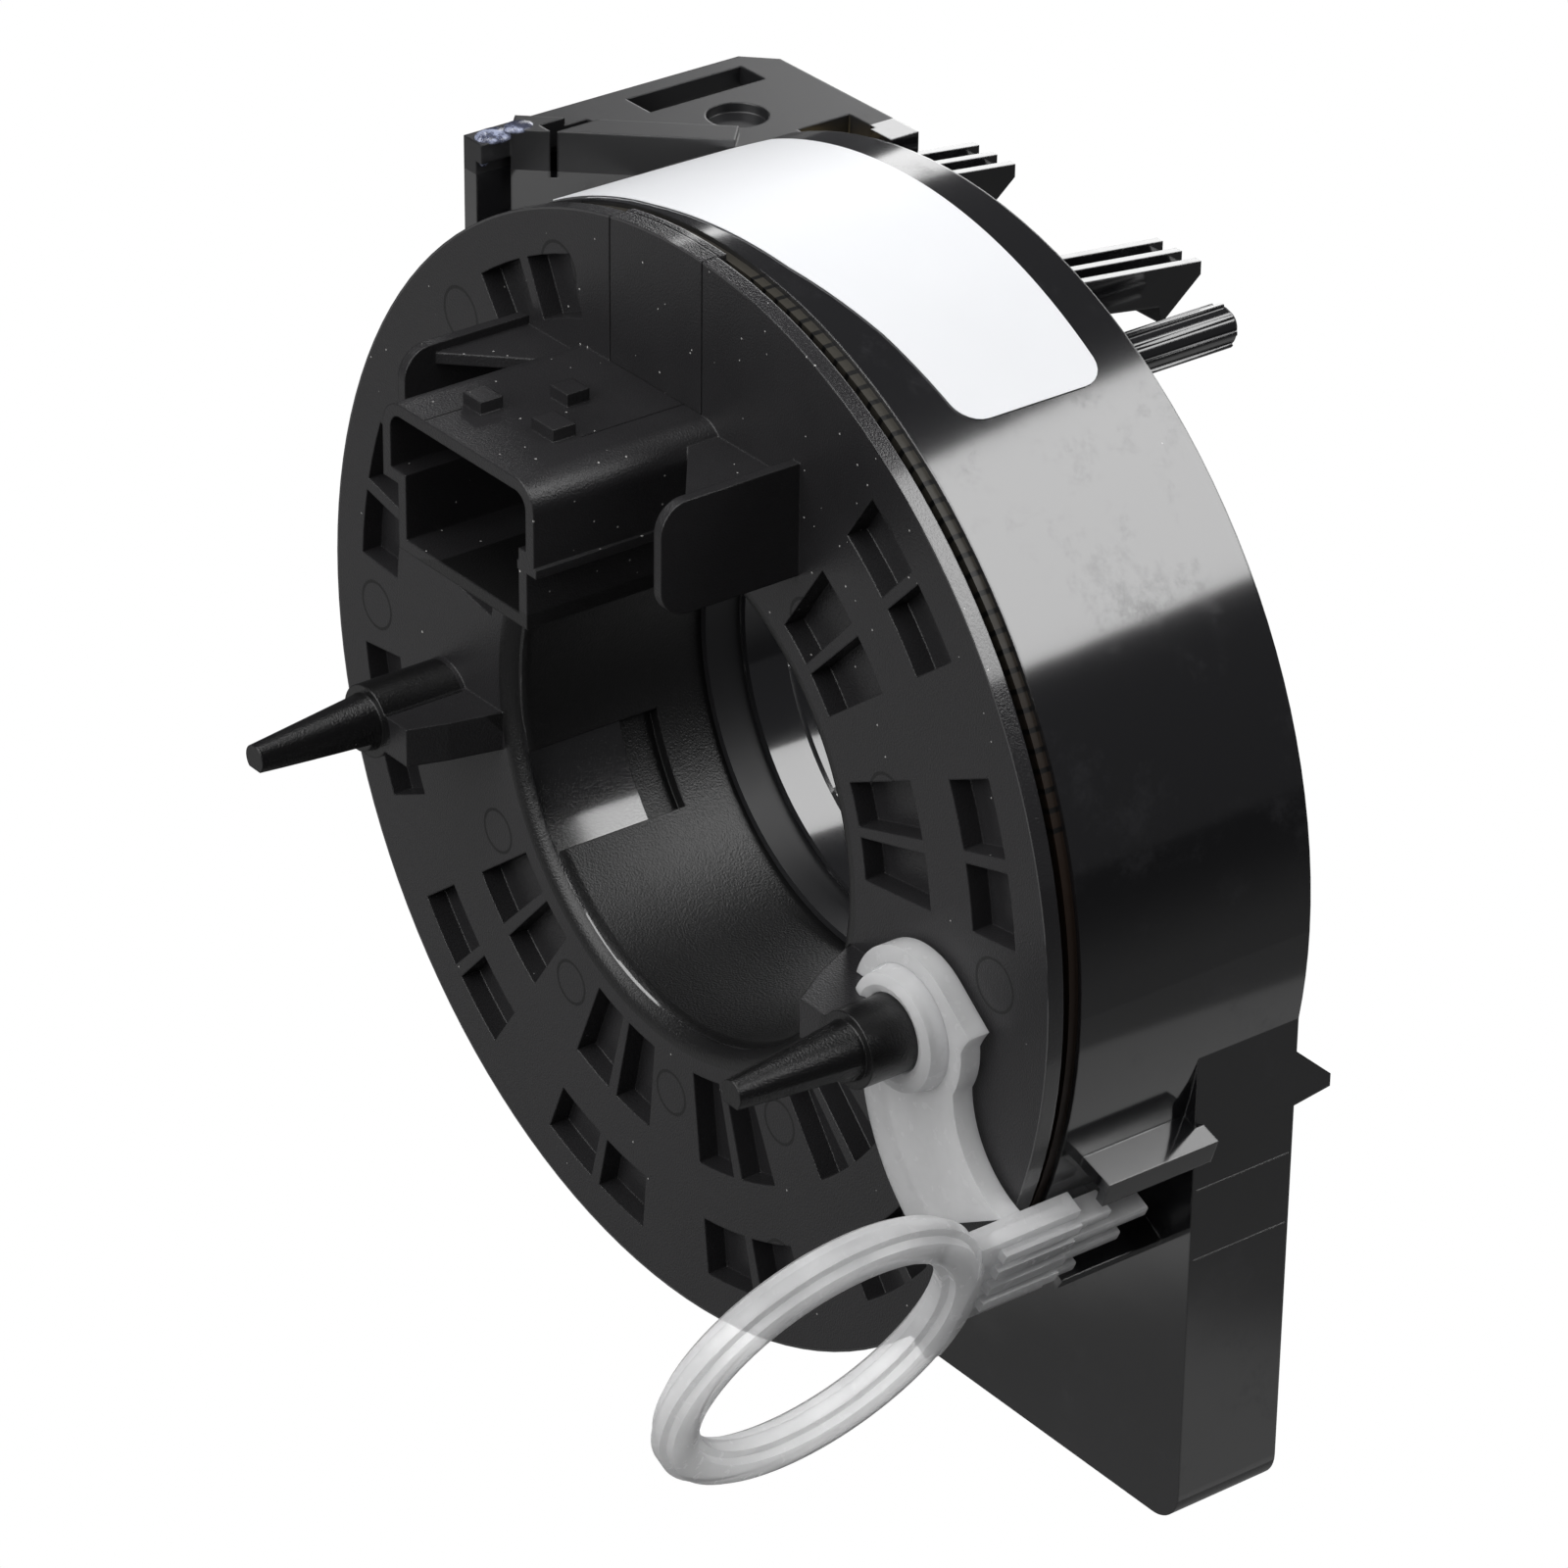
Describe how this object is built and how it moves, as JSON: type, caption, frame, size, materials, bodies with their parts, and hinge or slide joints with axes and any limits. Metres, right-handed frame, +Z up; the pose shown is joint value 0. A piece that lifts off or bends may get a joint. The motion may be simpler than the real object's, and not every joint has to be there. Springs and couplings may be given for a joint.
{
  "type": "steering clock spring",
  "caption": "Round contact unit between a steering wheel and its column: a rotor with a plug shroud and drive pins turns in a housing with a foot, clips and a pull-out locking key.",
  "frame": {"origin": "on the steering axis, in the plane of the rotor's wheel-side face", "axes": "-Y along the steering axis towards the wheel, +Z up, +X to the right as seen from the wheel side"},
  "size_m": [0.1034, 0.0765, 0.1049],
  "materials": {
    "rotor_black": "satin",
    "housing_black": "gloss",
    "sleeve_black": "satin",
    "key_white": "milky, lets light through",
    "terminal": "tinned",
    "brass": "satin",
    "cable": "satin film",
    "roller_white": "matt",
    "slide_brown": "matt film",
    "label_white": "blank paper",
    "glue": "clear"
  },
  "bodies": {
    "housing": {"housing": "housing_black", "rear_cover": "housing_black", "slide_ring": "slide_brown", "label": "label_white", "glue_dab": "glue", "brass_contact": "brass", "harness_terminal_block": "rotor_black", "harness_terminal_pins": "terminal", "outer_cable_clamp": "roller_white", "flat_cable_1": "cable", "flat_cable_2": "cable"},
    "rotor": {"rotor_face": "rotor_black", "rotor_sleeve": "sleeve_black", "front_terminal_block": "rotor_black", "front_terminal_pins": "terminal", "inner_cable_clamp": "roller_white"},
    "key": {"locking_key": "key_white"},
    "cage": {"roller_cage": "roller_white"},
    "roller_1": {"roller_1": "roller_white"},
    "roller_2": {"roller_2": "roller_white"},
    "roller_3": {"roller_3": "roller_white"},
    "roller_4": {"roller_4": "roller_white"}
  },
  "joints": [
    {"name": "rotor_turn", "type": "hinge", "parent": "housing", "child": "rotor", "pos_m": [0, 0, 0], "axis": [0, -1, 0], "range_deg": [-900, 900], "deforming": ["flat_cable_1", "flat_cable_2"]},
    {"name": "key_pull", "type": "slide", "parent": "rotor", "child": "key", "axis": [0, -1, 0], "range_m": [0, 0.045]},
    {"name": "cage_turn", "type": "hinge", "parent": "housing", "child": "cage", "pos_m": [0, 0, 0], "axis": [0, -1, 0], "range_deg": [-390, 390]},
    {"name": "roller_1_spin", "type": "hinge", "parent": "cage", "child": "roller_1", "pos_m": [0.01265, 0.014, 0.03477], "axis": [0, -1, 0], "range_deg": [-2340, 2340]},
    {"name": "roller_2_spin", "type": "hinge", "parent": "cage", "child": "roller_2", "pos_m": [-0.03477, 0.014, 0.01265], "axis": [0, -1, 0], "range_deg": [-2340, 2340]},
    {"name": "roller_3_spin", "type": "hinge", "parent": "cage", "child": "roller_3", "pos_m": [-0.01265, 0.014, -0.03477], "axis": [0, -1, 0], "range_deg": [-2340, 2340]},
    {"name": "roller_4_spin", "type": "hinge", "parent": "cage", "child": "roller_4", "pos_m": [0.03477, 0.014, -0.01265], "axis": [0, -1, 0], "range_deg": [-2340, 2340]}
  ],
  "couplings": [
    {"joint": "cage_turn", "follows": "rotor_turn", "ratio": 0.4},
    {"joint": "roller_1_spin", "follows": "rotor_turn", "ratio": -2.4},
    {"joint": "roller_2_spin", "follows": "rotor_turn", "ratio": -2.4},
    {"joint": "roller_3_spin", "follows": "rotor_turn", "ratio": -2.4},
    {"joint": "roller_4_spin", "follows": "rotor_turn", "ratio": -2.4}
  ]
}
